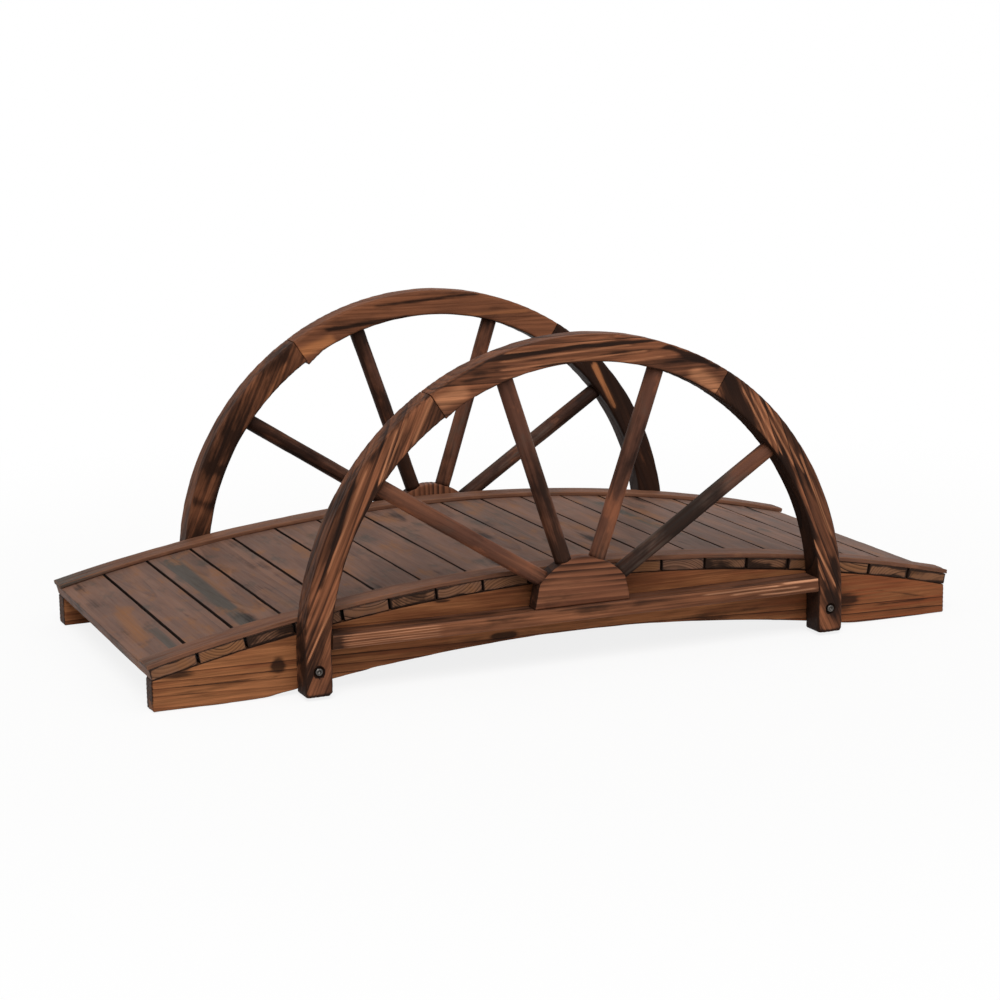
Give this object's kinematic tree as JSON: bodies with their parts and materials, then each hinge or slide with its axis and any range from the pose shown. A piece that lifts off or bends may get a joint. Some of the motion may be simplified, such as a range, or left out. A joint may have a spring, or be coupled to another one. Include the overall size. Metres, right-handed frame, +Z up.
{
  "type": "arched garden bridge",
  "caption": "Arched garden footbridge in scorched timber: planked deck on two bowed side beams, with a spoked half-wheel railing along each side.",
  "frame": {"origin": "on the ground, under the middle of the bridge", "axes": "+X along the walkway, +Y across it away from the front wheel, +Z up"},
  "size_m": [1.5, 0.76, 0.5674],
  "materials": {
    "beam_wood": "scorched, brushed and oiled fir",
    "deck_wood": "scorched fir, greyed and matt",
    "wheel_wood": "scorched, brushed and oiled fir"
  },
  "bodies": {
    "root": {"front_beam": "beam_wood", "back_beam": "beam_wood", "deck_board_01": "deck_wood", "deck_board_02": "deck_wood", "deck_board_03": "deck_wood", "deck_board_04": "deck_wood", "deck_board_05": "deck_wood", "deck_board_06": "deck_wood", "deck_board_07": "deck_wood", "deck_board_08": "deck_wood", "deck_board_09": "deck_wood", "deck_board_10": "deck_wood", "deck_board_11": "deck_wood", "deck_board_12": "deck_wood", "deck_board_13": "deck_wood", "deck_board_14": "deck_wood", "deck_board_15": "deck_wood", "deck_board_16": "deck_wood", "deck_board_17": "deck_wood", "deck_board_18": "deck_wood", "front_edge_strip": "deck_wood", "back_edge_strip": "deck_wood", "front_rim_left": "wheel_wood", "front_rim_top": "wheel_wood", "front_rim_right": "wheel_wood", "front_spoke_1": "wheel_wood", "front_spoke_2": "wheel_wood", "front_spoke_3": "wheel_wood", "front_spoke_4": "wheel_wood", "front_hub": "wheel_wood", "front_lower_rail": "wheel_wood", "back_rim_left": "wheel_wood", "back_rim_top": "wheel_wood", "back_rim_right": "wheel_wood", "back_spoke_1": "wheel_wood", "back_spoke_2": "wheel_wood", "back_spoke_3": "wheel_wood", "back_spoke_4": "wheel_wood", "back_hub": "wheel_wood", "back_lower_rail": "wheel_wood"}
  },
  "joints": []
}
